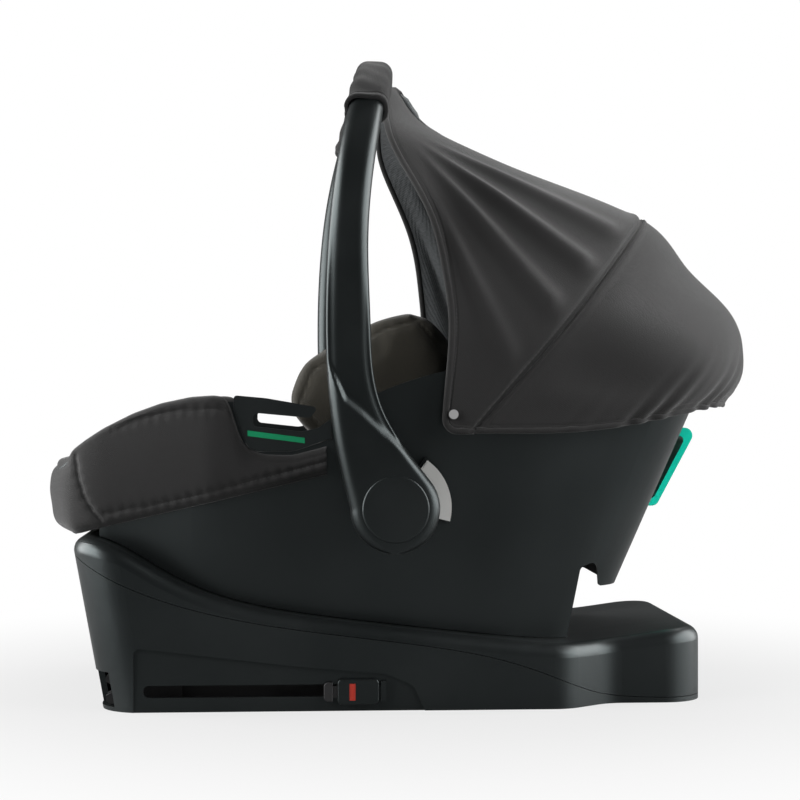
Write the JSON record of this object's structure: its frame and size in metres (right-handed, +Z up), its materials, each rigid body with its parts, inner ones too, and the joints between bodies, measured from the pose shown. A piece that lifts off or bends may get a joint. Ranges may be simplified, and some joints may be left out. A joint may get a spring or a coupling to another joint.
{
  "type": "infant car seat",
  "caption": "Infant carrier seat with folding hood, swinging carrying handle and padded harness seat, on an anchor base with sliding connectors and a fold-out support leg.",
  "frame": {"origin": "middle of the assembly's box in plan, on the floor the base stands on", "axes": "+X towards the child's head, +Y towards the child's right, +Z up"},
  "size_m": [0.7163, 0.4364, 0.6434],
  "materials": {
    "black_plastic": "fine grain",
    "dark_trim": "satin",
    "grey_button": "satin",
    "green_plastic": "satin",
    "red_plastic": "satin",
    "pale_snap": "gloss",
    "steel": "brushed",
    "dark_steel": "dark coat",
    "charcoal_fabric": "woven",
    "olive_fabric": "soft knit",
    "black_webbing": "woven",
    "white_foam": "matte"
  },
  "bodies": {
    "base": {"base_cover": "black_plastic", "base_tray": "black_plastic", "base_screws": "steel", "guide_rails": "steel", "leg_pin": "steel", "latch_axles": "steel"},
    "anchor_carriage": {"anchor_frame": "dark_steel", "anchor_head_left": "steel", "anchor_head_right": "steel", "anchor_rivets": "steel", "anchor_slider_left": "black_plastic", "anchor_slider_right": "black_plastic", "slider_indicators": "red_plastic"},
    "jaw_left": {"anchor_jaw_left": "steel"},
    "jaw_right": {"anchor_jaw_right": "steel"},
    "slide_button_left": {"slider_button_left": "dark_trim"},
    "slide_button_right": {"slider_button_right": "dark_trim"},
    "leg": {"leg_outer_tube": "steel", "leg_collar": "black_plastic"},
    "leg_extension": {"leg_inner_tube": "steel", "leg_foot": "black_plastic"},
    "leg_catch": {"leg_button": "dark_trim"},
    "latch": {"latch_hooks": "steel"},
    "release": {"release_button": "dark_trim"},
    "carrier": {"carrier_shell": "black_plastic", "belt_guide_left": "black_plastic", "belt_guide_right": "black_plastic", "belt_strips": "green_plastic", "rear_belt_guide": "green_plastic", "lock_bars": "steel", "foot_cover": "charcoal_fabric", "seat_pad": "charcoal_fabric", "foam_liner": "white_foam", "shoulder_strap_left": "black_webbing", "shoulder_strap_right": "black_webbing", "shoulder_pad_left": "olive_fabric", "shoulder_pad_right": "olive_fabric", "buckle": "black_plastic", "harness_adjuster": "black_plastic", "adjuster_strap": "black_webbing", "crotch_strap": "black_webbing", "hood_rear": "charcoal_fabric", "hood_front": "charcoal_fabric", "hood_bow": "black_plastic", "hood_snaps": "pale_snap", "hub_bolts": "steel"},
    "headrest": {"headrest_plate": "black_plastic", "headrest_pad": "olive_fabric"},
    "buckle_catch": {"buckle_button": "red_plastic"},
    "strap_lever": {"adjuster_lever": "dark_trim"},
    "handle": {"handle_bow": "black_plastic", "hub_cap_left": "black_plastic", "hub_cap_right": "black_plastic", "grip_sleeve": "charcoal_fabric", "lock_spring_left": "steel", "lock_spring_right": "steel"},
    "lock_left": {"lock_gear_left": "dark_trim"},
    "lock_right": {"lock_gear_right": "dark_trim"},
    "lock_button_left": {"handle_button_left": "grey_button"},
    "lock_button_right": {"handle_button_right": "grey_button"}
  },
  "joints": [
    {"name": "anchor_slide", "type": "slide", "parent": "base", "child": "anchor_carriage", "axis": [-1, 0, 0], "range_m": [0, 0.165]},
    {"name": "jaw_left_turn", "type": "hinge", "parent": "anchor_carriage", "child": "jaw_left", "pos_m": [-0.262, -0.14, 0.0285], "axis": [0, -1, 0], "range_deg": [0, 20]},
    {"name": "jaw_right_turn", "type": "hinge", "parent": "anchor_carriage", "child": "jaw_right", "pos_m": [-0.262, 0.14, 0.0285], "axis": [0, -1, 0], "range_deg": [0, 20]},
    {"name": "slide_button_left_press", "type": "slide", "parent": "anchor_carriage", "child": "slide_button_left", "axis": [1, 0, 0], "range_m": [0, 0.004], "stiffness_N_per_m": 600},
    {"name": "slide_button_right_press", "type": "slide", "parent": "anchor_carriage", "child": "slide_button_right", "axis": [1, 0, 0], "range_m": [0, 0.004], "stiffness_N_per_m": 600},
    {"name": "leg_fold", "type": "hinge", "parent": "base", "child": "leg", "pos_m": [0.24, 0, 0.022], "axis": [0, -1, 0], "range_deg": [0, 95]},
    {"name": "leg_extend", "type": "slide", "parent": "leg", "child": "leg_extension", "axis": [-1, 0, 0], "range_m": [0, 0.15]},
    {"name": "leg_button_press", "type": "slide", "parent": "leg", "child": "leg_catch", "axis": [0, 0, 1], "range_m": [0, 0.003], "stiffness_N_per_m": 600},
    {"name": "release_pull", "type": "slide", "parent": "base", "child": "release", "axis": [1, 0, 0], "range_m": [0, 0.0077], "stiffness_N_per_m": 600},
    {"name": "latch_turn", "type": "hinge", "parent": "base", "child": "latch", "pos_m": [0.13, 0, 0.042], "axis": [0, -1, 0], "range_deg": [0, 22.1]},
    {"name": "carrier_lift", "type": "slide", "parent": "base", "child": "carrier", "axis": [0, 0, 1], "range_m": [0, 0.16]},
    {"name": "headrest_slide", "type": "slide", "parent": "carrier", "child": "headrest", "axis": [0.866, 0, 0.5], "range_m": [0, 0.08]},
    {"name": "buckle_press", "type": "slide", "parent": "carrier", "child": "buckle_catch", "axis": [0, 0, -1], "range_m": [0, 0.004], "stiffness_N_per_m": 600},
    {"name": "strap_lever_lift", "type": "hinge", "parent": "carrier", "child": "strap_lever", "pos_m": [-0.246, 0, 0.2066], "axis": [0, 1, 0], "range_deg": [0, 15], "stiffness_Nm_per_rad": 0.05},
    {"name": "handle_swing", "type": "hinge", "parent": "carrier", "child": "handle", "pos_m": [-0.017, 0, 0.193], "axis": [0, 1, 0], "range_deg": [0, 95], "deforming": ["hood_front"]},
    {"name": "lock_button_left_press", "type": "slide", "parent": "carrier", "child": "lock_button_left", "axis": [-0.9397, 0, -0.342], "range_m": [0, 0.005], "stiffness_N_per_m": 600},
    {"name": "lock_button_right_press", "type": "slide", "parent": "carrier", "child": "lock_button_right", "axis": [-0.9397, 0, -0.342], "range_m": [0, 0.005], "stiffness_N_per_m": 600},
    {"name": "lock_left_draw", "type": "slide", "parent": "handle", "child": "lock_left", "axis": [0, -1, 0], "range_m": [0, 0.006], "deforming": ["lock_spring_left"]},
    {"name": "lock_right_draw", "type": "slide", "parent": "handle", "child": "lock_right", "axis": [0, 1, 0], "range_m": [0, 0.006], "deforming": ["lock_spring_right"]}
  ],
  "couplings": [
    {"joint": "latch_turn", "follows": "release_pull", "rad_per_m": 49.9},
    {"joint": "lock_left_draw", "follows": "lock_button_left_press", "ratio": 1.2},
    {"joint": "lock_right_draw", "follows": "lock_button_right_press", "ratio": 1.2}
  ]
}
